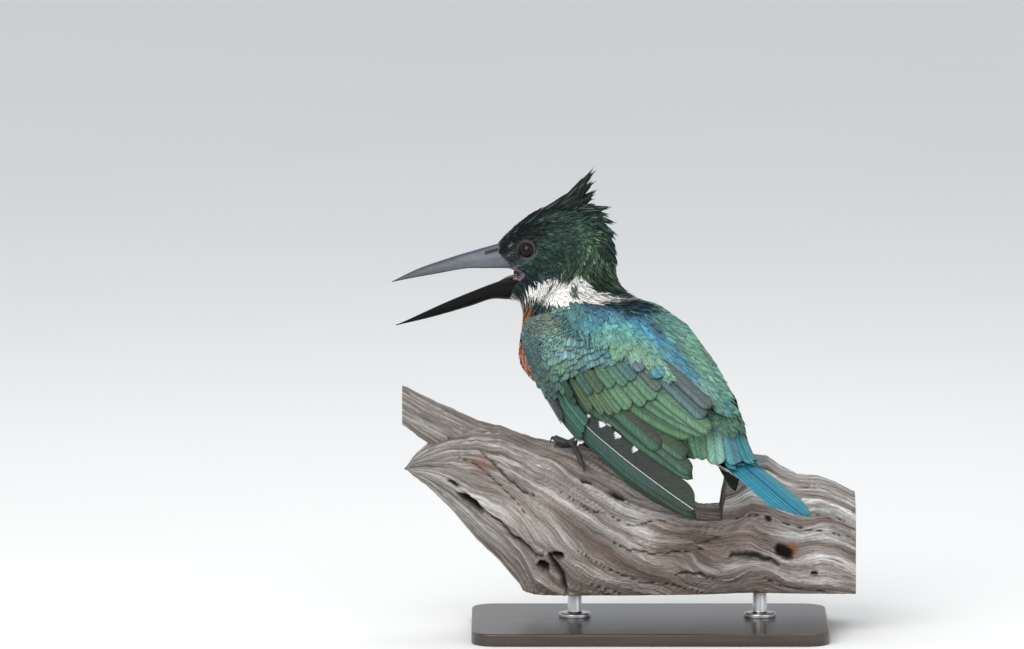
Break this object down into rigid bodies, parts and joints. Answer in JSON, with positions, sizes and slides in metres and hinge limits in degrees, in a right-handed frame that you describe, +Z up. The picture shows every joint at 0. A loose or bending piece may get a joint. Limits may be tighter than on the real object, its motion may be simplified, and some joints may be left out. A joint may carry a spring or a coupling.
{
  "type": "perched kingfisher model",
  "caption": "Life-size still model of a crested male kingfisher with its bill open, perched on a cut length of driftwood carried by a plain display stand.",
  "frame": {"origin": "centre of the underside of the stand's base", "axes": "+Z up; the bill points to -X; the tail to +X and -Y; the base's long side along X"},
  "size_m": [0.2605, 0.1533, 0.2582],
  "materials": {
    "plumage": "satin",
    "pale_feathers": "matt",
    "tail_feathers": "satin",
    "bill": "satin",
    "mouth": "satin",
    "eye": "gloss",
    "foot": "matt",
    "driftwood": "matt",
    "stand_wood": "satin",
    "stand_steel": "satin"
  },
  "bodies": {
    "root": {"head": "plumage", "crest": "plumage", "neck": "plumage", "trunk": "plumage", "wing_left": "plumage", "wing_right": "plumage", "tail": "tail_feathers", "leg_left": "pale_feathers", "leg_right": "pale_feathers", "upper_bill": "bill", "lower_bill": "bill", "tongue": "mouth", "eye_left": "eye", "eye_right": "eye", "foot_left": "foot", "foot_right": "foot", "perch": "driftwood", "stand_base": "stand_wood", "stand_rod_1": "stand_steel", "stand_rod_2": "stand_steel"}
  },
  "joints": []
}
